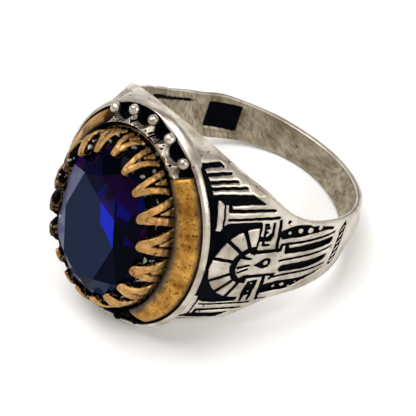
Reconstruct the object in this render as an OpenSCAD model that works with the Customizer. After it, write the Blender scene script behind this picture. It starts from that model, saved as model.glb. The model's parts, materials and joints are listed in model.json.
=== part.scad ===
// Gemstone ring: a cast silver band with carved shoulders, two brass saddles, two bead
// galleries, a toothed brass crown and one faceted oval stone. Millimetres.
// Each piece is drawn upright on the finger axis: x points out through the stone, y to one
// shoulder, z along the finger. lying() then lays the ring on its side as it rests.

/* [Finger hole] */
// Radius of the finger hole
hole_r = 10; // [9.6:0.1:10.2]
// Half width of the band at the middle of its back
back_half_w = 1.55; // [1.4:0.05:1.8]
// Outer radius of the band at its back
back_r = 11.2; // [11:0.1:11.6]

/* [Shoulders] */
// Radius of the arc that each shoulder follows, seen along the finger
shoulder_arc_r = 28.3; // [28.2:0.1:28.4]
// Radius of the crown across each shoulder
shoulder_dome_r = 20; // [16:1:24]
// How far the carved ground lies below the raised ornament
relief = 0.3; // [0.2:0.05:0.35]

/* [Head] */
// Half width of the head's flange, towards the shoulders
flange_a = 8.3; // [8.25:0.05:8.35]
// Half length of the head's flange, along the finger
flange_b = 9.65; // [9.65:0.05:9.7]
// How far the flange and the saddles sit off the middle, towards the near shoulder
head_side = 0.25; // [0.2:0.05:0.3]
// Height of the flange's underside above the finger axis
flange_low = 11.5; // [11.4:0.05:11.6]
// Height of the raised rim round the flange
flange_top = 12.3; // [12.25:0.05:12.35]
// Height of the tray floor inside the rim
tray_floor = 11.9; // [11.8:0.05:12]

/* [Crown] */
// Number of pointed claws
claw_count = 18; // [16:1:20]
// Angle of the first claw from the shoulder axis
claw_start = -8; // [-10:1:10]
// Width of each strap of a claw
strap_w = 0.52; // [0.4:0.02:0.6]

/* [Stone] */
// Half width of the stone at its girdle
stone_a = 4.9; // [4.8:0.05:4.95]
// Half length of the stone at its girdle
stone_b = 6.6; // [6.5:0.05:6.65]
// Height of the stone's table above the finger axis
table_h = 16.1; // [15.9:0.05:16.2]

/* [Hidden] */
$fn = 96;
oval_steps = 72;
gap = 0.05;
// Longer than the ring, for cuts that go right through
through = 40;
// Thickness of a slab that only carries an outline into a hull
sliver = 0.01;
silver = [0.80, 0.78, 0.74];
brass = [0.74, 0.56, 0.28];
sapphire = [0.05, 0.07, 0.30];

// Points of an oval with half axes a and b; power 2 is an ellipse, more is squarer
function oval(a, b, power = 2, steps = oval_steps) =
    [for (i = [0:steps - 1]) let (t = 360 * i / steps, c = cos(t), s = sin(t))
        [a * sign(c) * pow(abs(c), 2 / power), b * sign(s) * pow(abs(s), 2 / power)]];

// Value of a table of [x, y] rows at x, by straight lines between the rows
function at(rows, x) = lookup(x, rows);

// The ring lies on the lower end of the head's flange and on the edge of the band's back
back_dome_r = 2.5;
back_edge_r = back_r - back_dome_r + sqrt(pow(back_dome_r, 2) - pow(back_half_w, 2));
rest_tilt = atan((flange_b - back_half_w) / (flange_low + back_edge_r));
rest_h = flange_b * cos(rest_tilt) - flange_low * sin(rest_tilt);
// Puts the middle of the lying ring over the origin
rest_shift = 3.111;
module lying() {
    translate([0, rest_shift, rest_h]) rotate([0, 0, -90]) rotate([0, -rest_tilt, 0]) children();
}

// Turns a shape drawn in the plane (shoulder, finger) into a slab that grows out of the head
module slab(low, high) {
    translate([low, 0, 0]) rotate([90, 0, 90]) linear_extrude(high - low) children();
}

// Turns a shape drawn in the plane (out, finger) into a prism towards the near shoulder
module side_prism(low, high) {
    translate([0, high, 0]) rotate([90, 0, 0]) linear_extrude(high - low) children();
}

// Runs the same shape on both shoulders
module both_sides() {
    children();
    mirror([0, 1, 0]) children();
}

// Band: side outline, seen from the shoulder. Two straight tapers meet in a hollow curve.
taper_back_slope = 0.155;
taper_head_slope = 0.815;
taper_zero_w = back_half_w + taper_back_slope * back_edge_r;
taper_bend_x = 3.98;
taper_bend_r = 8;
head_end_x = 12.6;
band_back_x = -12;

function taper_curve() =
    let (low = atan(taper_back_slope), high = atan(taper_head_slope),
         reach = taper_bend_r * tan((high - low) / 2),
         bend_w = taper_zero_w + taper_back_slope * taper_bend_x,
         start = [taper_bend_x - reach * cos(low), bend_w - reach * sin(low)],
         centre = start + taper_bend_r * [-sin(low), cos(low)])
    concat([[band_back_x, taper_zero_w + taper_back_slope * band_back_x]],
           [for (i = [0:8]) let (t = low + (high - low) * i / 8) centre + taper_bend_r * [sin(t), -cos(t)]],
           [[head_end_x, bend_w + taper_head_slope * (head_end_x - taper_bend_x)]]);

function reflect(points) = [for (i = [len(points) - 1:-1:0]) [points[i][0], -points[i][1]]];

module taper() {
    rotate([90, 0, 0]) linear_extrude(through, center = true)
        polygon(concat(taper_curve(), reflect(taper_curve())));
}

// A lathe disc whose rim is an arc of dome_r, outer radius rim_r
module domed_disc(rim_r, dome_r) {
    rotate_extrude() intersection() {
        translate([rim_r - dome_r, 0]) circle(dome_r);
        translate([0, -dome_r]) square([rim_r + dome_r, 2 * dome_r]);
    }
}

// Solid form of the band before boring and carving, sunk by an even depth
shoulder_axis = [-1.94, -17.73];
shoulder_back_x = -1.6;
// Under the flange the shoulders' corners are rounded off by an oval that widens downwards
corner_top_oval = [7.75, 9.45];
corner_low_oval = [16.9, 8.1];
// The back swells outwards by this much more than the hole's circle, and widens towards the
// shoulders on a second, flatter disc
back_shift = 0.6;
wide_r = 10.7;
module band_form(sunk = 0) {
    intersection() {
        translate([shoulder_axis[0], shoulder_axis[1], 0])
            domed_disc(shoulder_arc_r - sunk, shoulder_dome_r);
        translate([shoulder_axis[0], -shoulder_axis[1], 0])
            domed_disc(shoulder_arc_r - sunk, shoulder_dome_r);
        hull() {
            slab(flange_low - sliver, flange_low)
                polygon(oval(corner_top_oval[0] - sunk, corner_top_oval[1] - sunk));
            slab(shoulder_back_x, shoulder_back_x + sliver)
                polygon(oval(corner_low_oval[0] - sunk, corner_low_oval[1] - sunk));
        }
    }
    translate([-back_shift, 0, 0]) domed_disc(back_r - back_shift - sunk, back_dome_r);
    domed_disc(wide_r - sunk, shoulder_dome_r);
}

// Ornament of one shoulder, drawn as the dark ground between the raised motifs.
// x is the distance out of the head, y the distance along the finger.
fan_x = 6.8;
fan_in = 1.95;
fan_out = 3.55;
wedge_pitch = 25.5;
wedge_fill = 22;
panel_top_x = 10.95;

// The same outline above and below the middle line of the ornament
module twice(points) {
    polygon(points);
    mirror([0, 1]) polygon(points);
}

// A straight groove from one point to another, tapering from one width to the other
module groove(from, to, from_w, to_w) {
    along = (to - from) / norm(to - from);
    across = [-along[1], along[0]] / 2;
    polygon([from + across * from_w, from - across * from_w,
             to - across * to_w, to + across * to_w]);
}

function on_fan(r, angle) = [fan_x + r * cos(angle), r * sin(angle)];

module wedge2d(angle) {
    half = wedge_fill / 2;
    polygon([for (t = [-half, -half / 3, half / 3, half]) on_fan(fan_out, angle + t),
             for (t = [half, 0, -half]) on_fan(fan_in, angle + t)]);
}

module fan_ground() {
    difference() {
        twice([[panel_top_x, 0], [panel_top_x, 5.6], [10.6, 5.6], [10.6, 3.25], [10.15, 3.25],
               [10.15, 3.85], [6.95, 3.85], [6.95, 0]]);
        for (i = [-3:3]) wedge2d(i * wedge_pitch);
        twice([[6.9, 0], [6.9, 1.1], [7.7, 0.9], [8.3, 0.55], [8.5, 0]]);
    }
    twice([[8.25, 0.32], [7.35, 0.42], [7.35, 0.24]]);
}

module column_ground() {
    for (side = [0, 1]) mirror([0, side]) {
        polygon([[panel_top_x, 5.5], [panel_top_x, 5.8], [8.12, 6.19], [7.05, 5.51],
                 [10.2, 5.31], [10.6, 5.5]]);
        groove([10.18, 3.3], [10.18, 5.3], 0.1, 0.1);
        groove([9.69, 4.97], [6.14, 4.92], 0.2, 0.12);
        groove([9.83, 4.41], [5.47, 4.36], 0.14, 0.14);
    }
}

// Straight flutes between the column and the plain end of the head: left end, right end
flutes = [[[10.97, 7.5], [9.94, 7.86]], [[10.97, 7.0], [9.54, 7.43]],
          [[10.97, 6.58], [9.1, 6.98]], [[10.97, 6.18], [8.7, 6.58]]];
module flute_ground() {
    for (side = [0, 1]) mirror([0, side]) {
        for (f = flutes) groove(f[0], f[1], 0.26, 0.16);
        groove([10.9, 5.7], [10.9, 7.6], 0.14, 0.14);
    }
}

module bracket_ground() {
    for (side = [0, 1]) mirror([0, side]) {
        polygon([[7.0, 3.85], [7.0, 2.6], [6.95, 1.2], [7.2, 1.2], [7.25, 3.85]]);
        groove([6.98, 1.22], [5.0, 1.2], 0.14, 0.14);
        groove([5.3, 4.15], [5.0, 1.15], 0.2, 0.16);
        difference() {
            polygon([[6.6, 3.6], [6.6, 2.5], [5.9, 2.5], [5.9, 3.6]]);
            translate([6.4, 3.3]) circle(0.16, $fn = 16);
            translate([6.4, 2.8]) circle(0.16, $fn = 16);
        }
        difference() {
            polygon([[6.75, 2.25], [6.75, 1.7], [5.9, 1.7], [5.9, 2.25]]);
            polygon([[6.5, 2.12], [6.5, 1.85], [6.15, 1.85], [6.15, 2.12]]);
        }
    }
}

// Beads standing in the dark channel: place and radius
channel_beads = [[4.34, 2.88, 0.27], [3.35, 2.9, 0.27], [2.35, 2.86, 0.24], [1.46, 2.76, 0.2]];
module channel_ground() {
    for (side = [0, 1]) mirror([0, side]) difference() {
        polygon([[5.1, 3.3], [2.4, 3.2], [1.2, 3.0], [-1.0, 2.4],
                 [-1.0, 2.3], [1.2, 2.5], [4.7, 2.42], [5.0, 2.5]]);
        for (b = channel_beads) translate([b[0], b[1]]) circle(b[2], $fn = 16);
    }
}

module bar_ground() {
    for (side = [0, 1]) mirror([0, side]) {
        groove([4.9, 1.72], [-1.65, 1.35], 0.13, 0.13);
        groove([4.0, 1.0], [-1.75, 0.75], 0.42, 0.3);
        groove([4.2, 1.1], [4.2, 0.55], 0.16, 0.16);
    }
    groove([4.1, 0], [-1.85, 0], 0.14, 0.12);
}

rope_turns = 8;
rope_half_w = 1.9;
module rope_ground() {
    groove([-2.08, -rope_half_w], [-2.08, rope_half_w], 0.1, 0.1);
    groove([-2.72, -rope_half_w], [-2.72, rope_half_w], 0.1, 0.1);
    for (i = [0:rope_turns - 1]) let (y = rope_half_w * ((2 * i + 1) / rope_turns - 1))
        groove([-2.2, y - 0.12], [-2.6, y + 0.12], 0.14, 0.14);
}

module eye_ground() {
    difference() {
        union() {
            translate([5.55, 0]) circle(0.38, $fn = 24);
            polygon([[6.5, 0], [5.7, 0.35], [5.7, -0.35]]);
        }
        translate([5.6, 0]) circle(0.2, $fn = 16);
    }
    for (side = [-1, 1]) translate([4.7, 3.86 * side]) circle(0.1, $fn = 12);
}

module shoulder_ground() {
    fan_ground();
    column_ground();
    flute_ground();
    bracket_ground();
    channel_ground();
    bar_ground();
    rope_ground();
    eye_ground();
}

// Square recess inside the band, on the far side
mark_angle = -128;
mark_w = 3.2;
mark_low = -1.2;
mark_h = 2.7;
mark_depth = 0.3;

// The flange narrows upwards to its rim, which stands round the tray
rim_slope_a = 0.19;
rim_slope_b = 0.32;
rim_w = 0.21;
module flange() {
    hull() {
        slab(flange_low, flange_low + 0.3) translate([head_side, 0]) polygon(oval(flange_a, flange_b));
        slab(flange_low, flange_top) translate([head_side, 0])
            polygon(oval(flange_a - rim_slope_a, flange_b - rim_slope_b));
    }
}

module tray() {
    slab(tray_floor, flange_top + 1) translate([head_side, 0])
        polygon(oval(flange_a - rim_slope_a - rim_w, flange_b - rim_slope_b - rim_w));
}

// The ornament is cut into the outside only, between these distances off the middle plane
ornament_from = 2;
ornament_to = 14;

module band() {
    color(silver) lying() difference() {
        intersection() {
            union() {
                band_form();
                flange();
            }
            taper();
        }
        tray();
        cylinder(h = through, r = hole_r, center = true);
        both_sides() difference() {
            side_prism(ornament_from, ornament_to) shoulder_ground();
            band_form(relief);
        }
        rotate([0, 0, mark_angle]) translate([hole_r - 0.5, -mark_w / 2, mark_low])
            cube([0.5 + mark_depth, mark_w, mark_h]);
    }
}

// Oval rings on the head: the saddles and galleries fill the ring between these two ovals
outer_a = 7.73;
outer_b = 8.97;
inner_a = 6.15;
inner_b = 8.1;
outer_top = 12.5;
inner_top = 13.35;
seat = tray_floor + gap;
saddle_half = 51;
saddle_steps = 24;
gallery_half = 36;

// One cross-section of the ring at an angle, as rows of [share from outer to inner, height]
saddle_section = [[0, seat], [0, outer_top - 0.15], [0.1, outer_top + 0.12], [0.3, 12.93],
                  [0.58, 13.22], [0.85, inner_top], [1, inner_top - 0.06], [1, seat]];

function ring_point(angle, share, height) =
    [height,
     (outer_a + (inner_a - outer_a) * share) * cos(angle) + head_side * (1 - share),
     (outer_b + (inner_b - outer_b) * share) * sin(angle)];

// Skin of a bar made of rings of points: end caps and four-sided walls
function bar_faces(rings, count) = concat(
    [[for (j = [count - 1:-1:0]) j]],
    [for (i = [0:rings - 2], j = [0:count - 1]) let (k = (j + 1) % count)
        [i * count + j, i * count + k, (i + 1) * count + k, (i + 1) * count + j]],
    [[for (j = [0:count - 1]) (rings - 1) * count + j]]);

module ring_sector(from, to, steps, section) {
    rows = len(section);
    polyhedron(points = [for (i = [0:steps], j = [0:rows - 1])
                   ring_point(from + (to - from) * i / steps, section[j][0], section[j][1])],
               faces = bar_faces(steps + 1, rows), convexity = 4);
}

module saddle(middle) {
    ring_sector(middle - saddle_half, middle + saddle_half, saddle_steps, saddle_section);
}

module saddle_near() {
    color(brass) lying() saddle(0);
}

module saddle_far() {
    color(brass) lying() saddle(180);
}

// Gallery: a floor, an upright fin round the crown, and beads on ribs between open arches
bead_r = 0.42;
bead_a = 7.5;
bead_b = 8.88;
bead_h = 12.72;
bead_pitch = 15.65;
rib_half = 1.6;
rib_section = [[0.12, seat + 0.2], [0.12, 12.5], [0.8, 12.85], [0.8, seat + 0.2]];
gallery_steps = 16;
floor_section = [[0.1, seat], [0.1, seat + 0.25], [1, seat + 0.25], [1, seat]];
fin_section = [[0.62, seat + 0.2], [0.7, 12.95], [0.98, 13.2], [1, seat + 0.2]];
module gallery(middle) {
    ring_sector(middle - gallery_half, middle + gallery_half, gallery_steps, floor_section);
    ring_sector(middle - gallery_half + 3, middle + gallery_half - 3, gallery_steps, fin_section);
    for (i = [-2:2]) let (t = middle + i * bead_pitch) {
        translate([bead_h, bead_a * cos(t) + head_side, bead_b * sin(t)]) sphere(bead_r, $fn = 16);
        ring_sector(t - rib_half, t + rib_half, 1, rib_section);
    }
}

module gallery_upper() {
    color(silver) lying() gallery(90);
}

module gallery_lower() {
    color(silver) lying() gallery(270);
}

// Crown: claw profile from foot to tip, as rows of [share of height, value]
claw_a = [[0, 5.9], [0.3, 5.76], [0.6, 5.58], [0.8, 5.28], [1, 4.6]];
claw_b = [[0, 7.88], [0.3, 7.7], [0.6, 7.5], [0.8, 7.13], [1, 6.2]];
claw_h = [[0, 12.75], [0.3, 13.5], [0.6, 14.3], [0.8, 15.0], [1, 15.62]];
claw_lean = [[0, 5], [0.6, 15], [0.8, 36], [1, 55]];

function claw_point(angle, s, out) =
    let (lean = at(claw_lean, s), flat = out * cos(lean))
    [at(claw_h, s) + out * sin(lean),
     (at(claw_a, s) + flat) * cos(angle),
     (at(claw_b, s) + flat) * sin(angle)];

// Angle that a length along the crown covers at this place
function turn(angle, s, length) =
    length * 180 / PI / norm([at(claw_a, s) * sin(angle), at(claw_b, s) * cos(angle)]);

// A strap from rows of [share of height, side offset in mm, half width in mm], between two depths
module strap(angle, rows, low, high) {
    polyhedron(points = [for (r = rows)
                   let (mid = angle + turn(angle, r[0], r[1]), half = turn(angle, r[0], r[2]))
                   each [claw_point(mid - half, r[0], low), claw_point(mid + half, r[0], low),
                         claw_point(mid + half, r[0], high), claw_point(mid - half, r[0], high)]],
               faces = bar_faces(len(rows), 4));
}

// Half the distance between a claw's two straps at its foot, and the shares where they bend
claw_foot_w = 0.95;
strap_steps = [0, 0.3, 0.6, 0.8, 0.92];
// Depths in mm from the crown's skin: the metal's back, the hollow, the tongue and the straps
claw_back = -0.35;
hollow_skin = -0.16;
strap_skin = 0.08;
hollow_rows = [[0.04, 0, 0.85], [0.6, 0, 0.42], [0.8, 0, 0.24]];
tongue_rows = [[0.06, 0, 0.22], [0.3, 0, 0.2], [0.45, 0, 0.08]];
tip_depth = -0.13;
tip_r = 0.22;
module claw(angle) {
    for (side = [-1, 1])
        strap(angle, [for (s = strap_steps) [s, side * claw_foot_w * pow(1 - s, 0.8), strap_w / 2]],
              claw_back, strap_skin);
    strap(angle, hollow_rows, claw_back, hollow_skin);
    strap(angle, tongue_rows, claw_back + gap, 0);
    hull() {
        translate(claw_point(angle, 0.88, tip_depth)) sphere(tip_r + gap, $fn = 8);
        translate(claw_point(angle, 1, tip_depth)) sphere(tip_r, $fn = 8);
    }
}

// The collet leans in from its foot to its mouth, where the stone's girdle sits in a pocket
foot_oval = [5.95, 7.93];
foot_top = 12.75;
waist_oval = [5.62, 7.62];
waist_top = 13.4;
mouth_top = 14.85;
collet_pocket_low = 14.35;
module collet() {
    difference() {
        union() {
            slab(seat, foot_top) polygon(oval(foot_oval[0], foot_oval[1]));
            hull() {
                slab(foot_top - gap, waist_top) polygon(oval(waist_oval[0], waist_oval[1]));
                slab(mouth_top - 0.1, mouth_top) polygon(oval(stone_a + 0.34, stone_b + 0.4));
            }
        }
        slab(seat - 1, mouth_top + 1) polygon(oval(stone_a - 0.3, stone_b - 0.35));
        slab(collet_pocket_low, mouth_top + 1) polygon(oval(stone_a + gap, stone_b + gap));
    }
}

module crown() {
    color(brass) lying() {
        collet();
        for (i = [0:claw_count - 1]) claw(claw_start + 360 * i / claw_count);
    }
}

// Stone: an oval brilliant. The table is an eight-sided oval with corners on both axes.
girdle_h = 14.72;
girdle_t = 0.12;
pavilion_h = 13.3;
culet_h = 12.3;
table_points = [[2.9, 0], [1.85, 3.8], [0, 4.7], [-1.85, 3.8],
                [-2.9, 0], [-1.85, -3.8], [0, -4.7], [1.85, -3.8]];
star_h = 15.62;
star_points = [for (x = [-1, 1], y = [-1, 1]) each [[3.3 * x, 2.65 * y], [1.35 * x, 5.25 * y]]];
module stone() {
    color(sapphire) lying() hull() {
        slab(table_h - sliver, table_h) polygon(table_points);
        for (p = star_points) translate([star_h, p[0], p[1]]) rotate([0, -90, 0])
            cylinder(h = sliver, r = sliver, $fn = 3);
        slab(girdle_h - girdle_t, girdle_h) polygon(oval(stone_a, stone_b, 2, 16));
        slab(pavilion_h, pavilion_h + sliver) polygon(oval(2.6, 3.9, 2, 8));
        slab(culet_h, culet_h + sliver) polygon(oval(0.5, 1.1, 2, 8));
    }
}

band();
gallery_upper();
gallery_lower();
saddle_near();
saddle_far();
crown();
stone();
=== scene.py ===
# A heavy finger ring lying on its side: carved silver band, brass saddles, bead galleries,
# a toothed brass crown and an oval dark blue stone. Ring sizes are in millimetres, in the
# ring's own directions: out through the stone, towards the near shoulder, along the finger.
import json
import math
import bmesh
import bpy
import numpy as np
from mathutils import Matrix, Vector


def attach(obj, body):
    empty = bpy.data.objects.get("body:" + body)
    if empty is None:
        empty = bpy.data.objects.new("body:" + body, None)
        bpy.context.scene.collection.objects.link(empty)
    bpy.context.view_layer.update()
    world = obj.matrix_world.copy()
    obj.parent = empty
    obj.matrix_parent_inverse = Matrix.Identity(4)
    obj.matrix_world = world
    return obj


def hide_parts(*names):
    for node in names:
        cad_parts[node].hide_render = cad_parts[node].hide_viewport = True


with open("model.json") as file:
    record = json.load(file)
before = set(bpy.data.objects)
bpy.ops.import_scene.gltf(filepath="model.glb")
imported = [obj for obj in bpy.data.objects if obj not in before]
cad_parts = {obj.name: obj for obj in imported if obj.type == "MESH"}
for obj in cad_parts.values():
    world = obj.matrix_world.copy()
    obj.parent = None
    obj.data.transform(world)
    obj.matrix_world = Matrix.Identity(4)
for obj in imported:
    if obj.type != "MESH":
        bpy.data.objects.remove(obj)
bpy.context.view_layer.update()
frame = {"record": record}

# The band: sterling silver, cast in one piece and filed. Its back is a narrow half-round
# hoop, and it widens into two tall carved shoulders. The deep ground of the carving is
# blackened, and the raised ornament is buffed clean.
bore = frame["record"]["mounts"][0]
HOLE_R = bore["dims"]["r_mm"]
REST_SHIFT = bore["pos_m"][1] * 1000
# The narrow back: half width, outer radius, roundness, and how far it swells outwards
BACK_HALF_W = 1.55
BACK_R = 11.2
BACK_DOME_R = 2.5
BACK_SWELL = 0.6
# The side outline: slope near the back, extra slope near the head, and the bend between them
BACK_SLOPE = 0.155
HEAD_SLOPE = 0.66
BEND_OUT = 3.98
BEND_SOFT = 0.7
HEAD_HALF_W = 9.45
HEAD_FULLER = 0.17
# The shoulder's long arc: its centre, radius, squared distance to the centre, and cross bulge
ARC_OUT = -1.94
ARC_SIDE = -17.73
ARC_AWAY_SQUARED = 318.1
ARC_R = 28.3
SHOULDER_DOME_R = 20
# Cosines of the turn away from the stone at which the arc ends and the flange begins
ARC_UP_TO = -0.15
FLANGE_FROM = 0.3
HOOP_R = 10.7
# The oval that rounds the shoulders' corners off, under the head's flange
CORNER_SIDE = 7.75
CORNER_END = 9.52
CORNER_FLARE = 0.45
CORNER_SIDE_SLOPE = 0.7
CORNER_END_SLOPE = 0.1
THINNEST_WALL = 0.25
FLANGE_LOW = 11.5
FLANGE_B = 9.65
back_edge_r = BACK_R - BACK_DOME_R + math.sqrt(BACK_DOME_R ** 2 - BACK_HALF_W ** 2)
rest_tilt = math.atan((FLANGE_B - BACK_HALF_W) / (FLANGE_LOW + back_edge_r))
rest_h = FLANGE_B * math.cos(rest_tilt) - FLANGE_LOW * math.sin(rest_tilt)


def lying(points):
    """Ring millimetres (out, shoulder, finger) to metres in the frame, ring on its side."""
    points = np.asarray(points, dtype=float)
    out, side, finger = points[..., 0], points[..., 1], points[..., 2]
    c, s = math.cos(rest_tilt), math.sin(rest_tilt)
    y = -(out * c - finger * s) + REST_SHIFT
    z = out * s + finger * c + rest_h
    return np.stack([side, y, z], axis=-1) / 1000


def soft_max(a, b, width):
    """The larger of two, with the step between them rounded over a width."""
    return np.maximum(a, b) + width * np.log1p(np.exp(-np.abs(a - b) / width))


def smooth(low, high, x):
    """0 below low, 1 above high and a soft rise between, or a fall where low is the larger."""
    t = np.clip((x - low) / (high - low), 0, 1)
    return t * t * (3 - 2 * t)


def half_width(out):
    """The side outline: two straight tapers that meet in a hollow curve."""
    back_line = BACK_HALF_W + BACK_SLOPE * (out + back_edge_r)
    bend = np.clip((out - BEND_OUT) / BEND_SOFT, -40, 40)
    taper = back_line + HEAD_SLOPE * BEND_SOFT * np.log1p(np.exp(bend))
    return np.minimum(taper, HEAD_HALF_W + HEAD_FULLER * smooth(10.0, 10.9, out))


def outer_radius(turn, finger):
    """Outside of the band before carving, turn radians away from the stone."""
    c, s = np.cos(turn), np.sin(turn)
    dome = np.sqrt(SHOULDER_DOME_R ** 2 - finger ** 2) - SHOULDER_DOME_R
    centre = ARC_OUT * c + ARC_SIDE * s
    shoulder = centre + np.sqrt(centre ** 2 - ARC_AWAY_SQUARED + (ARC_R + dome) ** 2)
    shoulder = np.where(c > ARC_UP_TO, shoulder, 0)
    rho = BACK_R - BACK_SWELL - BACK_DOME_R + np.sqrt(np.clip(BACK_DOME_R ** 2 - finger ** 2, 0, None))
    narrow = -BACK_SWELL * c + np.sqrt(rho ** 2 - (BACK_SWELL * s) ** 2)
    radius = soft_max(soft_max(shoulder, HOOP_R + dome, 0.03), narrow, 0.03)
    # Rounded-off corners under the flange, found by halving, and the flange's flat underside
    low, high = np.zeros_like(radius), radius
    for step in range(30):
        middle = (low + high) / 2
        sink = FLANGE_LOW - middle * c
        reach = CORNER_SIDE + CORNER_FLARE * smooth(7.4, 8.2, np.abs(finger)) + CORNER_SIDE_SLOPE * sink
        fits = (middle * s / reach) ** 2 + (finger / (CORNER_END - CORNER_END_SLOPE * sink)) ** 2 < 1
        low, high = np.where(fits, middle, low), np.where(fits, high, middle)
    radius = np.where(c > FLANGE_FROM, low, radius)
    under_flange = (FLANGE_LOW + 0.02) / np.maximum(c, FLANGE_FROM)
    return np.maximum(np.minimum(radius, under_flange), HOLE_R + THINNEST_WALL)


def inside(x, y, outline):
    """Signed distance in mm to a closed outline, positive inside."""
    best = np.full(x.shape, 1e9)
    odd = np.zeros(x.shape, dtype=bool)
    for (x0, y0), (x1, y1) in zip(outline, outline[1:] + outline[:1]):
        ex, ey = x1 - x0, y1 - y0
        t = np.clip(((x - x0) * ex + (y - y0) * ey) / (ex * ex + ey * ey), 0, 1)
        best = np.minimum(best, (x - x0 - ex * t) ** 2 + (y - y0 - ey * t) ** 2)
        if ey:
            odd ^= ((y0 <= y) != (y1 <= y)) & (x < x0 + ex * (y - y0) / ey)
    return np.where(odd, 1, -1) * np.sqrt(best)


def line(x, y, start, end, start_w, end_w):
    """Signed distance to a groove that tapers from one width to the other."""
    ex, ey = end[0] - start[0], end[1] - start[1]
    t = np.clip(((x - start[0]) * ex + (y - start[1]) * ey) / (ex * ex + ey * ey), 0, 1)
    away = np.hypot(x - start[0] - ex * t, y - start[1] - ey * t)
    return (start_w + (end_w - start_w) * t) / 2 - away


def spot(x, y, middle, radius):
    """Signed distance to a round dot, positive inside."""
    return radius - np.hypot(x - middle[0], y - middle[1])


def path(x, y, corners, widths):
    """Signed distance to a groove that bends from corner to corner."""
    legs = zip(corners, corners[1:], widths, widths[1:])
    return np.max([line(x, y, *leg) for leg in legs], axis=0)


def carving(out, finger):
    """Depth into the dark ground of one shoulder's ornament, in mm, negative on the motifs."""
    # The lines waver a little, as cut by hand. What lies on up is the same at both ends
    x = out + 0.018 * np.sin(2.3 * finger + 1.1 * out) + 0.012 * np.sin(6.1 * finger - 3.7 * out)
    y = finger + 0.018 * np.sin(1.9 * out + 0.7 * finger) + 0.012 * np.sin(7.3 * out + 2.9 * finger)
    up = np.abs(y)
    # Black channel under the rim, and straight flutes up to the plain end of the head
    start = 10.7 + 0.35 * smooth(5.5, 5.7, up) + 0.13 * smooth(6.3, 7.4, up)
    cuts = [np.minimum(x - start, 7.74 - up)]
    flutes = [([(11.6, 7.62), (9.85, 7.64), (9.6, 7.5)], (0.24, 0.22, 0.06)),
              ([(11.5, 7.08), (9.15, 7.16)], (0.14, 0.06)),
              ([(11.5, 6.62), (8.85, 6.75)], (0.14, 0.06)),
              ([(11.5, 6.24), (8.28, 6.42)], (0.14, 0.06))]
    # Column: wide black channel, capital bar, neck and a grooved shaft
    cuts.append(inside(x, up, [(11.1, 5.88), (9.0, 5.99), (7.97, 6.02), (7.0, 5.33), (8.2, 5.4),
                               (9.4, 5.3), (10.1, 5.32), (10.45, 5.62), (11.1, 5.62)]))
    column = [([(10.12, 3.6), (10.1, 5.3)], (0.03, 0.02)),
              ([(9.74, 5.25), (9.68, 4.86), (6.08, 4.84)], (0.14, 0.22, 0.12)),
              ([(9.75, 4.14), (5.6, 4.22)], (0.11, 0.14))]
    cuts += [path(x, up, *groove) for groove in flutes + column]
    # Fan of seven uneven wedges round an arch, and a whiskered tongue that comes out of it
    panel = inside(x, up, [(11, -1), (11, 3.12), (10.2, 3.15), (10.1, 3.55), (9.75, 3.78), (9.0, 3.86),
                           (7.1, 3.88), (7.02, 3.7), (7.05, -1)])
    away, lean = np.hypot(x - 6.95, y), np.degrees(np.arctan2(y, x - 6.95))
    splits = np.array([-93, -70.5, -50, -25.5, 13.5, 43, 67, 89]).reshape((8,) + (1,) * x.ndim)
    beside = np.radians(np.min(np.abs(lean - splits), axis=0)) * away - 0.1
    wedge = np.minimum(beside, np.minimum(3.48 - away, away - 1.8))
    wedge = np.where((lean > -93) & (lean < 89), wedge, -1)
    tongue = inside(x, y, [(8.3, 0.4), (8.36, -0.3), (8.15, -0.85), (7.75, -1.3), (7.35, -1.0),
                           (5, -1.0), (5, 1.06), (7.1, 1.06), (7.2, 1.25), (7.45, 1.33),
                           (7.8, 1.15), (8.1, 0.85)])
    cuts.append(np.minimum(panel, -np.maximum(wedge, tongue)))
    whiskers = [([(8.15, 0.9), (7.3, 0.66)], (0.26, 0.1)),
                ([(8.1, -0.14), (7.3, 0.04)], (0.2, 0.11)),
                ([(8.0, -0.66), (7.35, -0.33)], (0.12, 0.13))]
    eye_point = inside(x, y, [(6.8, 0), (6.1, 0.52), (5.8, 0.1), (6.05, -0.34)])
    eye = np.maximum(spot(x, y, (5.92, 0.1), 0.47), eye_point)
    cuts.append(np.minimum(eye, -spot(x, y, (5.86, 0.13), 0.26)))
    # Brackets above and below the tongue
    brackets = [([(7.25, 1.3), (4.9, 1.27), (4.82, 1.75)], (0.28, 0.24, 0.14)),
                ([(5.43, 3.95), (5.25, 1.4)], (0.16, 0.2)),
                ([(5.97, 3.75), (5.95, 2.8)], (0.11, 0.14)),
                ([(6.7, 3.72), (6.64, 2.7)], (0.06, 0.12)),
                ([(6.62, 2.2), (6.6, 1.95), (6.12, 1.9)], (0.12, 0.14, 0.12)),
                ([(7.3, -1.17), (4.66, -1.14), (4.85, -1.62)], (0.28, 0.18, 0.2)),
                ([(5.5, -1.2), (5.3, -2.6), (5.05, -4.0)], (0.22, 0.24, 0.14)),
                ([(6.6, -3.1), (6.5, -3.95)], (0.3, 0.1)),
                ([(6.0, -3.0), (5.85, -3.9)], (0.25, 0.1)),
                ([(4.9, -3.95), (4.2, -3.95)], (0.08, 0.06))]
    cuts.append(inside(x, y, [(7.05, 2.68), (6.95, 2.3), (6.02, 2.28), (5.85, 2.8), (6.1, 2.92),
                              (6.4, 2.6)]))
    dots = [((6.5, 3.68), 0.09), ((6.42, 3.42), 0.11), ((6.5, 3.02), 0.08), ((4.6, 3.73), 0.11)]
    cuts += [spot(x, y, *dot) for dot in dots]
    shade = inside(x, y, [(6.72, -1.75), (5.98, -1.6), (5.9, -3.0), (6.3, -3.3), (6.8, -3.2),
                          (6.85, -2.7)])
    for middle in ((6.4, -1.95), (6.3, -2.85)):
        shade = np.minimum(shade, -spot(x, y, middle, 0.13))
    cuts.append(shade)
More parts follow.
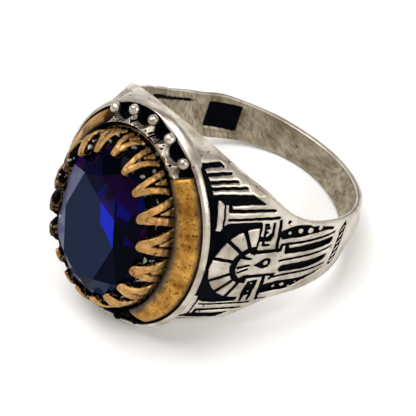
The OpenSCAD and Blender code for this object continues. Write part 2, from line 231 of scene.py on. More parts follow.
    # Beads in two dark channels that run out into lines
    over = inside(x, y, [(5.3, 2.95), (4.0, 3.3), (3.1, 3.38), (2.5, 3.28), (2.3, 3.12), (1.75, 3.1),
                         (1.2, 2.95), (0.7, 2.88), (-0.2, 2.66), (-0.15, 2.55), (0.85, 2.68),
                         (2.5, 2.52), (3.2, 2.39), (4.2, 2.35), (4.9, 2.27), (5.2, 2.6)])
    under = inside(x, y, [(5.2, -2.25), (4.0, -2.05), (2.4, -1.97), (1.4, -1.85), (0.3, -1.65),
                          (-0.5, -1.4), (-0.45, -1.52), (0.3, -1.83), (1.2, -2.1), (2.0, -2.5),
                          (2.9, -3.0), (4.3, -3.15), (5.2, -3.25)])
    for bead in (((4.35, 2.77), 0.19), ((3.37, 2.9), 0.26), ((2.48, 2.86), 0.3), ((1.5, 2.93), 0.26)):
        over = np.minimum(over, -spot(x, y, *bead))
    for bead in (((4.05, -2.6), 0.18), ((3.3, -2.5), 0.24), ((2.6, -2.75), 0.15), ((2.1, -2.35), 0.12)):
        under = np.minimum(under, -spot(x, y, *bead))
    cuts += [over, under]
    # Long bars and lines down the shoulder, ending in a rope band of six strands
    bars = [([(4.75, 1.75), (2, 1.93), (-0.45, 2.17)], (0.15, 0.13, 0.11)),
            ([(4.38, 1.72), (4.15, 1.1), (2, 1.26), (-0.1, 1.45)], (0.12, 0.45, 0.6, 0.56)),
            ([(4.55, 0.21), (2, 0.47), (-0.5, 0.75)], (0.14, 0.13, 0.12)),
            ([(4.0, -0.63), (1.9, -0.47), (0, -0.2)], (0.64, 0.68, 0.54)),
            ([(4.8, -1.5), (2.8, -1.25), (-0.5, -1.0)], (0.16, 0.14, 0.11))]
    cuts += [path(x, y, *groove) for groove in whiskers + brackets + bars]
    rope = inside(x, y, [(-1.16, 2.05), (-1.72, 2.72), (-1.96, 2.3), (-1.98, -1.2), (-1.7, -1.6),
                         (-1.16, -1.45)])
    for i in range(6):
        place = -1.08 + 0.62 * i
        rope = np.minimum(rope, -line(x, y, (-1.34, place - 0.15), (-1.78, place + 0.15), 0.21, 0.21))
    cuts.append(rope)
    return np.max(cuts, axis=0) + 0.025


def lumps(points, size, seed):
    """Gentle uneven surface of a casting: a sum of crossed waves, one hill every size mm."""
    spin = np.random.default_rng(seed)
    total = np.zeros(points.shape[:-1])
    for i in range(9):
        way = spin.normal(size=3)
        way *= 2 * math.pi / (size * spin.uniform(0.8, 1.7) * np.linalg.norm(way))
        total += np.sin(points @ way + spin.uniform(0, 6.28))
    return total / 9


def solid_from_loops(name, loops, marks, joined=False):
    """One closed solid through rows of section loops, with numbers kept on its points."""
    rows, cols = loops.shape[:2]
    turns = rows if joined else rows - 1
    i, j = np.meshgrid(np.arange(turns), np.arange(cols), indexing="ij")
    k, m = (i + 1) % rows, (j + 1) % cols
    corners = [i * cols + j, i * cols + m, k * cols + m, k * cols + j]
    faces = np.stack(corners, axis=-1).reshape(-1, 4).tolist()
    if not joined:
        faces.append(list(range(cols)))
        faces.append(list(range(rows * cols - 1, (rows - 1) * cols - 1, -1)))
    mesh = bpy.data.meshes.new(name)
    mesh.from_pydata(lying(loops.reshape(-1, 3)).tolist(), [], faces)
    for key, values in marks.items():
        mesh.attributes.new(key, "FLOAT", "POINT").data.foreach_set("value", values.reshape(-1))
    work = bmesh.new()
    work.from_mesh(mesh)
    bmesh.ops.recalc_face_normals(work, faces=work.faces)
    for face in work.faces:
        face.smooth = len(face.verts) < 5
        if len(face.verts) > 4:
            for border in face.edges:
                border.smooth = False
    work.to_mesh(mesh)
    work.free()
    piece = bpy.data.objects.new(name, mesh)
    bpy.context.collection.objects.link(piece)
    return piece


# The carving's rows lie close together, and closest at the rope
CARVED_FROM = 19.5
CARVED_TO = 106
angles = np.concatenate([np.linspace(0, CARVED_FROM, 6)[:-1], np.linspace(CARVED_FROM, 95, 228)[:-1],
                         np.linspace(95, 101.5, 42)[:-1], np.linspace(101.5, 180, 36)])
shares = np.linspace(1, -1, 274)
# Rounding of the band's edges, and how it is at the head
CORNER = 0.11
HEAD_CORNER = 0.03
GROUND_DEPTH = 0.26
SOFT_EDGE = 0.05
WALL_POINTS = 24
band_loops, band_carve, band_painted_reflection = [], [], []
for angle in angles:
    turn = math.radians(angle)
    edge = 2.0
    for step in range(12):
        edge = float(half_width(outer_radius(np.array([turn]), np.array([edge]))[0] * math.cos(turn)))
    edge_r = float(outer_radius(np.array([turn]), np.array([edge]))[0])
    corner = CORNER if angle > 30 else HEAD_CORNER
    finger = (edge - corner) * shares
    radius = outer_radius(np.full(finger.shape, turn), finger)
    cut = carving(radius * math.cos(turn), finger)
    cut = np.where((angle > CARVED_FROM) & (angle < CARVED_TO), cut, -1.0)
    wall = np.linspace(-1, 1, WALL_POINTS) * (edge - CORNER)
    bend = np.radians([22.5, 45, 67.5, 90])
    inner = np.concatenate([np.full(WALL_POINTS, HOLE_R), HOLE_R + CORNER * (1 - np.cos(bend))])
    inner_z = np.concatenate([wall, edge - CORNER + CORNER * np.sin(bend)])
    rise = np.linspace(HOLE_R + 2 * CORNER, edge_r - corner, 4)
    rounding = np.radians([22.5, 45, 67.5])
    top_r = np.concatenate([rise, edge_r - corner + corner * np.sin(rounding)])
    top_z = np.concatenate([np.full(4, edge), edge - corner + corner * np.cos(rounding)])
    back_r = (HOLE_R + CORNER * (1 - np.cos(bend)))[::-1]
    back_z = -(edge - CORNER + CORNER * np.sin(bend))[::-1]
    r = np.concatenate([inner, top_r, radius, top_r[::-1], back_r])
    z = np.concatenate([inner_z, top_z, finger, -top_z[::-1], back_z])
    before, after = len(inner) + len(top_r), len(top_r) + len(back_r)
    depth = np.concatenate([np.full(before, -1.0), cut, np.full(after, -1.0)])
    sunk = GROUND_DEPTH * smooth(-0.05, 0.07, depth) + SOFT_EDGE * smooth(-0.22, 0, depth)
    r = r - np.where(depth > -0.9, sunk, 0)
    band_loops.append(np.stack([r * math.cos(turn), r * math.sin(turn), z], axis=-1))
    band_carve.append(depth)
    # The inner half of the hoop's flat edge is painted dark, a painted dark reflection
    dull = float(smooth(75, 90, angle)) * np.array([0.9, 0.9, 0.15, 0, 0, 0, 0])
    plain = np.zeros(len(finger))
    band_painted_reflection.append(np.concatenate([np.zeros(len(inner)), dull, plain, dull[::-1], np.zeros(len(back_r))]))
band_loops, band_carve, band_painted_reflection = np.array(band_loops), np.array(band_carve), np.array(band_painted_reflection)
from_axis = np.linalg.norm(band_loops[..., :2], axis=-1)
outward = band_loops * [1, 1, 0] / from_axis[..., None]
rough = 0.018 * lumps(band_loops, 1.4, 3) + 0.02 * smooth(0, 0.1, band_carve) * lumps(band_loops, 0.5, 4)
band_loops = band_loops + outward * (rough * (from_axis > HOLE_R + 0.3))[..., None]
black = smooth(-0.06, 0.0, band_carve)
# The inside of the finger hole is scratched and duller from wear
worn = (np.linalg.norm(band_loops[..., :2], axis=-1) < HOLE_R + 0.03) * 1.0
near_marks = {"oxide_and_shade": black, "worn": worn, "painted_dark_reflection": band_painted_reflection}
band_near = solid_from_loops("band_near_shoulder", band_loops, near_marks)

# The far shoulder runs into the hoop on a straighter line than the near one. A square stamp recess, left
# blank, is punched into its inside wall and blackened, and a dark line of painted shade is drawn above it
FULLER_AT_HEAD = 0.4
NARROWER_AT_HOOP = 0.33
RECESS_DEPTH = 0.28
RECESS_TURN = 128
RECESS_HALF_TURN = 9.1
RECESS_HALF_W = 1.36
RECESS_UP = 0.17
DEGREES_PER_MM = 5.7
far_loops = band_loops * [1, -1, 1]
far_turn = np.degrees(np.arctan2(-far_loops[..., 1], far_loops[..., 0]))
fuller = FULLER_AT_HEAD * smooth(52, 68, far_turn) * smooth(84, 73, far_turn)
fuller = fuller - NARROWER_AT_HOOP * smooth(82, 98, far_turn) * smooth(126, 112, far_turn)
reach = np.abs(far_loops[..., 2]).max(axis=1, keepdims=True)
far_loops[..., 2] *= 1 + fuller / reach
in_hole = np.linalg.norm(far_loops[..., :2], axis=-1) < HOLE_R + 0.02
beside = (RECESS_HALF_W - np.abs(far_loops[..., 2] - RECESS_UP)) * DEGREES_PER_MM
punch = np.minimum(RECESS_HALF_TURN - np.abs(far_turn - RECESS_TURN), beside)
punch = np.where(in_hole, smooth(-0.6, 0.9, punch), 0)
# Painted shade: a dark line on the inside wall above the recess
shade_line_path = [(13.6, 2.8), (14.19, 2.66), (16.55, 1.95), (18.6, 1.6), (19.3, 1.58)]
round_hole = np.radians(np.abs(far_turn)) * HOLE_R
painted_shade_line = path(round_hole, far_loops[..., 2], shade_line_path, (0.1, 0.42, 0.3, 0.22, 0.05))
painted_shade_line = np.where(in_hole, 0.75 * smooth(-0.3, 0.12, painted_shade_line), 0)
far_loops = far_loops + RECESS_DEPTH * punch[..., None] * outward * [1, -1, 1]
far_oxide_and_shade = np.maximum(np.maximum(black, punch), painted_shade_line)
far_marks = {"oxide_and_shade": far_oxide_and_shade, "worn": worn, "painted_dark_reflection": band_painted_reflection}
band_far = solid_from_loops("band_far_shoulder", far_loops, far_marks)


def linear(hex_colour):
    """sRGB hex to linear colour with alpha."""
    parts = [int(hex_colour[i:i + 2], 16) / 255 for i in (1, 3, 5)]
    return [p / 12.92 if p <= 0.04045 else ((p + 0.055) / 1.055) ** 2.4 for p in parts] + [1.0]


def add(tree, kind, settings=None, values=None, links=None):
    """Add one node with its settings, socket values and links."""
    made = tree.nodes.new(kind)
    for key, value in (settings or {}).items():
        setattr(made, key, value)
    for key, value in (values or {}).items():
        made.inputs[key].default_value = value
    for key, source in (links or {}).items():
        tree.links.new(source, made.inputs[key])
    return made


def grain(size_mm):
    """Scale of a pattern whose grains lie this many millimetres apart."""
    return 1000 / size_mm


def new_material(name):
    """An empty material and its node tree."""
    made = bpy.data.materials.new(name)
    made.use_nodes = True
    made.node_tree.nodes.clear()
    return made, made.node_tree


# Cast sterling silver, oxidised and buffed: warm pale grey metal with a soft, slightly streaked sheen,
# small brown pits, and glassy blue-black sulphide in every recess. The same black also lays painted shade
# under the flange, on the beads' undersides, over the lower gallery and along a line inside the far
# shoulder, and a painted dark reflection darkens the hoop's inner edge.
silver, tree = new_material("sterling_silver_oxidised_and_buffed")
place = add(tree, "ShaderNodeTexCoord").outputs["Object"]
clouds = add(tree, "ShaderNodeTexNoise", values={"Scale": grain(2.381), "Detail": 5, "Roughness": 0.6},
             links={"Vector": place})
cloud_mask = add(tree, "ShaderNodeMapRange", values={1: 0.35, 2: 0.68}, links={0: clouds.outputs["Fac"]})
warm = add(tree, "ShaderNodeMix", {"data_type": "RGBA"},
           {6: linear("#D3CCC0"), 7: linear("#968C7D")}, {0: cloud_mask.outputs[0]})
worn = add(tree, "ShaderNodeAttribute", {"attribute_name": "worn"}).outputs["Fac"]
skin = add(tree, "ShaderNodeMix", {"data_type": "RGBA", "blend_type": "MULTIPLY"}, {7: linear("#EDE7DC")},
           {0: worn, 6: warm.outputs[2]})
pits = add(tree, "ShaderNodeTexNoise", values={"Scale": grain(0.3125), "Detail": 2},
           links={"Vector": place})
pit_mask = add(tree, "ShaderNodeMapRange", values={1: 0.66, 2: 0.74}, links={0: pits.outputs["Fac"]})
pitted = add(tree, "ShaderNodeMix", {"data_type": "RGBA"}, {7: linear("#5A4A3A")},
             {0: pit_mask.outputs[0], 6: skin.outputs[2]})
# A file's scratches are too fine to show, so they are drawn as streaks a fifth as wide as long
streaks = add(tree, "ShaderNodeMapping", values={"Scale": (1, 5, 1.5), "Rotation": (0.4, 0.3, 0.9)},
              links={"Vector": place})
filed = add(tree, "ShaderNodeTexNoise", values={"Scale": grain(1.111), "Detail": 4, "Roughness": 0.65},
            links={"Vector": streaks.outputs[0]})
streak_mask = add(tree, "ShaderNodeMapRange", values={1: 0.42, 2: 0.62}, links={0: filed.outputs["Fac"]})
streaked = add(tree, "ShaderNodeMath", {"operation": "MULTIPLY"},
               links={0: streak_mask.outputs[0], 1: worn})
scratched = add(tree, "ShaderNodeMix", {"data_type": "RGBA", "blend_type": "MULTIPLY"},
                {7: linear("#CFC8BC")}, {0: streaked.outputs[0], 6: pitted.outputs[2]})
# Painted dark reflection: this colour darkens the inner half of the hoop's flat edge
painted_dark_reflection = add(tree, "ShaderNodeAttribute", {"attribute_name": "painted_dark_reflection"}).outputs["Fac"]
darkened_by_painted_reflection = add(tree, "ShaderNodeMix", {"data_type": "RGBA", "blend_type": "MULTIPLY"},
             {7: linear("#77767A")}, {0: painted_dark_reflection, 6: scratched.outputs[2]})
# This mark brings in the black of real oxide and, in some places, painted shade
oxide_and_shade_mark = add(tree, "ShaderNodeAttribute", {"attribute_name": "oxide_and_shade"}).outputs["Fac"]
ragged = add(tree, "ShaderNodeTexNoise", values={"Scale": grain(0.2381), "Detail": 3},
             links={"Vector": place})
frayed = add(tree, "ShaderNodeMath", {"operation": "MULTIPLY_ADD"}, {1: 0.5, 2: -0.25},
             {0: ragged.outputs["Fac"]})
shifted = add(tree, "ShaderNodeMath", {"operation": "ADD"}, links={0: oxide_and_shade_mark, 1: frayed.outputs[0]})
oxide_and_shade = add(tree, "ShaderNodeMapRange", values={1: 0.35, 2: 0.6}, links={0: shifted.outputs[0]})
slate = add(tree, "ShaderNodeMix", {"data_type": "RGBA"},
            {6: linear("#020305"), 7: linear("#0A0C12")}, {0: cloud_mask.outputs[0]})
colour = add(tree, "ShaderNodeMix", {"data_type": "RGBA"},
             links={0: oxide_and_shade.outputs[0], 6: darkened_by_painted_reflection.outputs[2], 7: slate.outputs[2]})
metal = add(tree, "ShaderNodeMapRange", values={3: 1.0, 4: 0.0}, links={0: oxide_and_shade.outputs[0]})
sheen = add(tree, "ShaderNodeMapRange", values={1: 0.3, 2: 0.7, 3: 0.26, 4: 0.46},
            links={0: filed.outputs["Fac"]})
rough = add(tree, "ShaderNodeMath", {"operation": "MULTIPLY_ADD"}, {1: 0.16},
            {0: worn, 2: sheen.outputs[0]})
gleam = add(tree, "ShaderNodeMapRange", values={3: 0.5, 4: 0.01}, links={0: oxide_and_shade.outputs[0]})
bump = add(tree, "ShaderNodeBump", values={"Strength": 0.25, "Distance": 0.03 / 1000},
           links={"Height": filed.outputs["Fac"]})
shader = add(tree, "ShaderNodeBsdfPrincipled", links={
    "Base Color": colour.outputs[2], "Metallic": metal.outputs[0], "Roughness": rough.outputs[0],
    "Specular IOR Level": gleam.outputs[0], "Normal": bump.outputs[0]})
add(tree, "ShaderNodeOutputMaterial", links={"Surface": shader.outputs[0]})

for piece in (band_near, band_far):
    piece.data.materials.append(silver)
    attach(piece, "root")
    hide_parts("band")

# The head's tray: part of the same silver casting. An oval flange with a buffed, rounded rim
# round a sunk, blackened floor, on which the saddles, galleries and crown stand.
FLANGE_A = 8.3
HEAD_SIDE = 0.25
UNDERCUT_A = 0.45
UNDERCUT_B = 0.3
# Rows of distance in from the flange's edge, height, blackness, and share of the undercut
TRAY_PROFILE = [(1.2, 11.42, 1, 0), (0.1, 11.42, 1, 1), (0.03, 11.46, 0.6, 1), (0, 11.52, 0.2, 1),
                (0, 11.6, 0, 0.8), (0.01, 11.7, 0, 0.5), (0.02, 11.8, 0, 0.15), (0.04, 11.87, 0, 0),
                (0.08, 11.98, 0, 0), (0.13, 12.1, 0, 0), (0.18, 12.21, 0, 0), (0.24, 12.28, 0, 0),
                (0.31, 12.3, 0, 0), (0.37, 12.28, 0.2, 0), (0.41, 12.2, 0.7, 0), (0.43, 12.1, 1, 0),
                (0.45, 11.98, 1, 0), (0.52, 11.92, 1, 0), (0.7, 11.9, 1, 0), (1.6, 11.89, 1, 0),
                (3.6, 11.89, 1, 0), (3.7, 11.8, 1, 0), (3.7, 11.42, 1, 0)]
turns = np.radians(np.arange(0, 360, 1.5))
tray, tray_oxide_and_shade = [], []
for t in turns:
    # Beside the carving the flange is undercut by the black channel, and there its undercut side is
    # painted black, partly oxide and partly painted shade under the rim. At the ends it is full
    along = FLANGE_B * abs(math.sin(t))
    under = 1 - float(smooth(7.55, 8.15, along))
    end = float(smooth(7.8, 9.2, along))
    thin = 1.25 + end * (0.3 - 1.05 * float(smooth(-0.25, 0.1, -math.cos(t))))
    tray.append([(h, (FLANGE_A - d - UNDERCUT_A * u * under) * math.cos(t) + HEAD_SIDE,
                  (FLANGE_B - thin * d - UNDERCUT_B * u * under) * math.sin(t))
                 for d, h, o, u in TRAY_PROFILE])
    tray_oxide_and_shade.append([max(o, under * float(smooth(0.1, 0.4, u))) for d, h, o, u in TRAY_PROFILE])
tray, tray_oxide_and_shade = np.array(tray), np.array(tray_oxide_and_shade)
tray = tray + [1, 0, 0] * (0.03 * lumps(tray, 0.9, 5))[..., None]
tray_piece = solid_from_loops("head_tray", tray, {"oxide_and_shade": tray_oxide_and_shade}, joined=True)
tray_piece.data.materials.append(silver)
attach(tray_piece, "root")

# The saddles: two crescents of brass, formed over the tray beside the crown and soldered down. They are
# brushed round, dotted with small pits, and painted dark where they near the crown and along their foot,
# partly brown patina and partly painted shade.
OUTER_A = 7.73
OUTER_B = 8.97
INNER_A = 6.15
INNER_B = 8.1
FOOT_H = 11.95
SADDLE_HALF = 51
SADDLE_EDGE_H = 12.52
SADDLE_BULGE = 0.87


def head_ring(angle, share, height, inner_b=INNER_B):
    """A place on the head between the outer oval (share 0) and the crown's oval (share 1)."""
    angle, share = np.radians(angle), np.asarray(share)
    return np.stack(np.broadcast_arrays(
        height, (OUTER_A + (INNER_A - OUTER_A) * share) * np.cos(angle) + HEAD_SIDE * (1 - share),
        (OUTER_B + (inner_b - OUTER_B) * share) * np.sin(angle)), axis=-1)


def saddle_loops(middle, seed):
    """Sections of one saddle: a low outer edge, and a bulge that is steep towards the crown."""
    share = np.concatenate([[0, 0, 0, 0.01, 0.04], np.linspace(0.1, 0.94, 12), [0.98, 1, 1, 1]])
    top = SADDLE_EDGE_H + SADDLE_BULGE * np.sin(np.linspace(0.08, 1.55, 12)) ** 0.85
    height = np.concatenate([[FOOT_H, 12.15, 12.32, 12.42, SADDLE_EDGE_H], top,
                             [13.36, 13.3, 12.8, FOOT_H]])
    loops, dark = [], []
    for angle in np.linspace(-SADDLE_HALF, SADDLE_HALF, 110):
        near_end = smooth(0, 1.2, SADDLE_HALF - abs(angle))
        loops.append(head_ring(middle + angle, 0.5 + (share - 0.5) * (0.96 + 0.04 * near_end),
                               height - 0.07 * (1 - near_end) * (height > 12.1)))
        # Painted darker towards the crown and along the outer foot: partly brown patina, partly painted
        # shade
        dark.append(np.maximum(0.9 * smooth(0.5, 1.0, share) + 0.15, smooth(0.12, 0, share) * 0.8))
    loops = np.array(loops)
    return loops + [1, 0, 0] * (0.045 * lumps(loops, 0.8, seed))[..., None], np.array(dark)


# Brass, brushed and left to brown: warm gold mottled with brown, dark specks where the cast surface is
# pitted, and a soft black-brown darkening along the edges and towards the crown, partly brown patina and
# partly painted shade. The brush's own marks are too fine to show, so its grains are drawn 0.2 mm apart.
brass, tree = new_material("brass_brushed_with_brown_patina_and_painted_shade")
place = add(tree, "ShaderNodeTexCoord").outputs["Object"]
clouds = add(tree, "ShaderNodeTexNoise", values={"Scale": grain(1.4286), "Detail": 6, "Roughness": 0.7},
             links={"Vector": place})
mottle = add(tree, "ShaderNodeMapRange", values={1: 0.36, 2: 0.64}, links={0: clouds.outputs["Fac"]})
gold = add(tree, "ShaderNodeMix", {"data_type": "RGBA"},
           {6: linear("#CE9C4C"), 7: linear("#885819")}, {0: mottle.outputs[0]})
grains = add(tree, "ShaderNodeTexNoise", values={"Scale": grain(0.1923), "Detail": 2},
             links={"Vector": place})
grain_mask = add(tree, "ShaderNodeMapRange", values={1: 0.57, 2: 0.7}, links={0: grains.outputs["Fac"]})
speckled = add(tree, "ShaderNodeMix", {"data_type": "RGBA"}, {7: linear("#3A2A16")},
               {0: grain_mask.outputs[0], 6: gold.outputs[2]})
grime_and_shade = add(tree, "ShaderNodeAttribute", {"attribute_name": "oxide_and_shade"}).outputs["Fac"]
ragged = add(tree, "ShaderNodeMath", {"operation": "MULTIPLY_ADD"}, {1: 0.6, 2: -0.3},
             {0: clouds.outputs["Fac"]})
edged = add(tree, "ShaderNodeMath", {"operation": "ADD"}, links={0: grime_and_shade, 1: ragged.outputs[0]})
soot_and_shade = add(tree, "ShaderNodeMapRange", values={1: 0.2, 2: 1.0}, links={0: edged.outputs[0]})
colour = add(tree, "ShaderNodeMix", {"data_type": "RGBA"}, {7: linear("#15130F")},
             {0: soot_and_shade.outputs[0], 6: speckled.outputs[2]})
metal = add(tree, "ShaderNodeMapRange", values={3: 1.0, 4: 0.1}, links={0: soot_and_shade.outputs[0]})
rough = add(tree, "ShaderNodeMapRange", values={1: 0.3, 2: 0.7, 3: 0.42, 4: 0.6},
            links={0: clouds.outputs["Fac"]})
bump = add(tree, "ShaderNodeBump", values={"Strength": 0.4, "Distance": 0.04 / 1000},
           links={"Height": grains.outputs["Fac"]})
shader = add(tree, "ShaderNodeBsdfPrincipled", links={
    "Base Color": colour.outputs[2], "Metallic": metal.outputs[0], "Roughness": rough.outputs[0],
    "Normal": bump.outputs[0]})
add(tree, "ShaderNodeOutputMaterial", links={"Surface": shader.outputs[0]})

for name, middle, seed in (("saddle_near", 0, 11), ("saddle_far", 180, 12)):
    loops, dark = saddle_loops(middle, seed)
    piece = solid_from_loops(name + "_brass", loops, {"oxide_and_shade": dark})
    piece.data.materials.append(brass)
    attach(piece, "root")
    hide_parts(name)

# The galleries: cast silver, soldered in at both ends of the head. A pitted shelf leans against the crown,
# is cut by open black arches, and carries a row of five solid beads. The beads' undersides, and the lower
# gallery almost all over, are painted dark, a painted shade.
BEAD_ANGLES = (-31.3, -15.65, 0, 15.65, 31.3)
ARCH_ANGLES = (-38, -23.5, -7.8, 7.8, 23.5, 38)
ARCH_HALF_W = 0.84
ARCH_DEPTH = 0.68
PIT_COUNT = 46
FLOOR_H = 12.02
UPPER_INNER_B = 7.66
# Bead radius, height of its middle, and the half axes of the oval that it stands on
UPPER_BEAD = (0.43, 12.68, 7.5, 9.06)
LOWER_BEAD = (0.36, 12.42, 7.4, 8.8)


def gallery_loops(middle, seed):
    """Sections of one gallery, and how black it is: open arches, a pitted shelf and a groove."""
    angle = np.linspace(-37.4, 37.4, 330)
    # Millimetres along the middle of the shelf
    step = np.radians(np.diff(angle))
    mid = np.radians(90 + (angle[1:] + angle[:-1]) / 2)
    along = np.concatenate([[0], np.cumsum(step * np.hypot(6.9 * np.sin(mid), 8.5 * np.cos(mid)))])
    along -= np.interp(0, angle, along)
    share = np.linspace(0.02, 1, 48)
    x, y = np.meshgrid(along, share, indexing="ij")
    inner_b = UPPER_INNER_B if middle == 90 else INNER_B
    lean = np.radians(angle)
    span = np.hypot((OUTER_A - INNER_A) * np.sin(lean), (OUTER_B - inner_b) * np.cos(lean))[:, None]
    arch = np.full(x.shape, 1e9)
    for turn in ARCH_ANGLES:
        middle_x = np.interp(turn, angle, along)
        arch = np.minimum(arch, (np.hypot((x - middle_x) / ARCH_HALF_W, y / ARCH_DEPTH) - 1) * 0.75)
    pit = np.full(x.shape, -1.0)
    spin = np.random.default_rng(seed)
    for dent in range(PIT_COUNT):
        at, deep, size = spin.uniform(-4.3, 4.3), spin.uniform(0.5, 0.78), spin.uniform(0.04, 0.1)
        pit = np.maximum(pit, spot(x, (y - deep) * span, (at, 0), size))
    # The shelf leans up towards the crown and drops into a black groove at its foot
    groove = smooth(0.79, 0.86, y)
    shelf = 12.6 + 0.6 * smooth(0.1, 0.9, y) - 0.4 * groove
    height = FLOOR_H + (shelf - FLOOR_H) * smooth(-0.12, 0.2, arch) - 0.14 * smooth(-0.02, 0.04, pit)
    dark = np.maximum(1 - 0.7 * smooth(-0.02, 0.08, arch), np.maximum(smooth(-0.015, 0.01, pit), groove))
    # Painted shade: the lower gallery is painted almost black
    if middle == 270:
        dark = np.maximum(dark, 0.72)
    top = head_ring(middle + angle[:, None], share[None, :], height, inner_b)
    low_share = np.array([1, 1, 0.02])
    low_h = np.array([12.6, 11.96, 11.96])[None, :] + x[:, :3] * 0
    low = head_ring(middle + angle[:, None], low_share[None, :], low_h, inner_b)
    loops = np.concatenate([top, low], axis=1)
    loops = loops + [1, 0, 0] * (0.03 * lumps(loops, 0.5, seed))[..., None] * (loops[..., :1] > 12)
    return loops, np.concatenate([dark, np.ones((len(angle), 3))], axis=1)


for name, middle, seed, bead in (("gallery_upper", 90, 21, UPPER_BEAD),
                                 ("gallery_lower", 270, 22, LOWER_BEAD)):
    loops, dark = gallery_loops(middle, seed)
    piece = solid_from_loops(name + "_silver", loops, {"oxide_and_shade": dark, "worn": np.full(dark.shape, 0.2)})
    parts = [piece]
    size, bead_h, bead_a, bead_b = bead
    for i, turn in enumerate(BEAD_ANGLES):
        spoke = math.radians(middle + turn)
        centre = np.array([bead_h, bead_a * math.cos(spoke) + HEAD_SIDE, bead_b * math.sin(spoke)])
        polar, round_axis = np.radians(np.linspace(2, 178, 22)), np.radians(np.arange(0, 360, 12))
        ball = np.array([[(math.cos(p), math.sin(p) * math.cos(q), math.sin(p) * math.sin(q))
                          for q in round_axis] for p in polar])
        ball = centre + ball * (size + 0.06 * lumps(centre + ball * size, 0.5, 30 + i)[..., None])
        # Painted shade: the beads' undersides are painted dark, and the lower gallery's beads almost
        # wholly
        painted_bead_shade = np.clip((12.58 - ball[..., 0]) / 0.2, 0.9 if middle == 270 else 0, 1)
        parts.append(solid_from_loops("bead", ball, {"oxide_and_shade": painted_bead_shade}))
    with bpy.context.temp_override(active_object=piece, selected_editable_objects=parts, object=piece):
        bpy.ops.object.join()
    piece.data.materials.clear()
    piece.data.materials.append(silver)
    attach(piece, "root")
    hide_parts(name)

# The crown: brass, cast. A dark collet holds the stone's girdle, and eighteen pointed claws
# rise from its foot and fold over the stone. Each claw is a raised V of two straps that
# meet in a rounded point, with a small tongue in the blackened hollow between them.
CLAW_COUNT = 18
CLAW_START = -8
CLAW_LENGTH = 3.35
HALF_PITCH = math.pi / CLAW_COUNT
# Half width, half length and height of the collet, and how black it is
COLLET_PROFILE = [(5.93, 7.91, 11.97, 0.9), (5.95, 7.93, 12.6, 0.8), (5.93, 7.91, 12.74, 0.3),
                  (5.84, 7.82, 12.82, 0.5), (5.6, 7.6, 12.86, 1), (5.48, 7.48, 13.1, 1),
                  (5.42, 7.4, 13.7, 1), (5.3, 7.15, 14.4, 1), (5.2, 6.98, 14.8, 1),
                  (5.05, 6.78, 14.86, 1), (4.96, 6.66, 14.8, 1), (4.94, 6.65, 14.5, 1),
                  (4.65, 6.3, 14.3, 1), (4.58, 6.22, 13.5, 1), (4.55, 6.2, 12.0, 1)]
# The crown's foot is drawn in by this much at its upper end, where the gallery is wide
FOOT_IN = 0.45
collet, collet_dark = [], []
for t in turns:
    drawn = FOOT_IN * max(math.sin(t), 0) / 3
    collet.append([(h, a * math.cos(t), (b - drawn * max(15 - h, 0)) * math.sin(t))
                   for a, b, h, o in COLLET_PROFILE])
    collet_dark.append([o for a, b, h, o in COLLET_PROFILE])
collet = np.array(collet)
collet = collet + [1, 0, 0] * (0.04 * lumps(collet, 0.6, 41))[..., None]
collet_piece = solid_from_loops("crown_collet", collet, {"oxide_and_shade": np.array(collet_dark)}, joined=True)

# Up a claw: share of its height, and there the crown's half width, half length, height and
# the lean of its skin in degrees
CLAW_SKIN = [(0, 5.9, 7.88, 12.8, 5), (0.3, 5.76, 7.7, 13.5, 8), (0.6, 5.58, 7.5, 14.3, 17),
             (0.8, 5.28, 7.13, 15.0, 34), (1, 4.6, 6.2, 15.62, 58)]
claw_rise, *skin_rows = zip(*CLAW_SKIN)
claw_fits = [np.polyfit(claw_rise, values, 3) for values in skin_rows]


def on_claw(angle, share, across, depth):
    """A place on a claw: share of its height, mm across and mm out of the crown's skin."""
    a, b, h, lean = [np.polyval(fit, share) for fit in claw_fits]
    lean = np.radians(lean)
    turn = math.radians(angle)
    b = b - FOOT_IN * max(math.sin(turn), 0) * np.clip(1 - share, 0, 1)
    turn = turn + across / np.hypot(a * math.sin(turn), b * math.cos(turn))
    flat = depth * np.cos(lean)
    up = h + depth * np.sin(lean)
    return np.stack([up, (a + flat) * np.cos(turn), (b + flat) * np.sin(turn)], axis=-1)


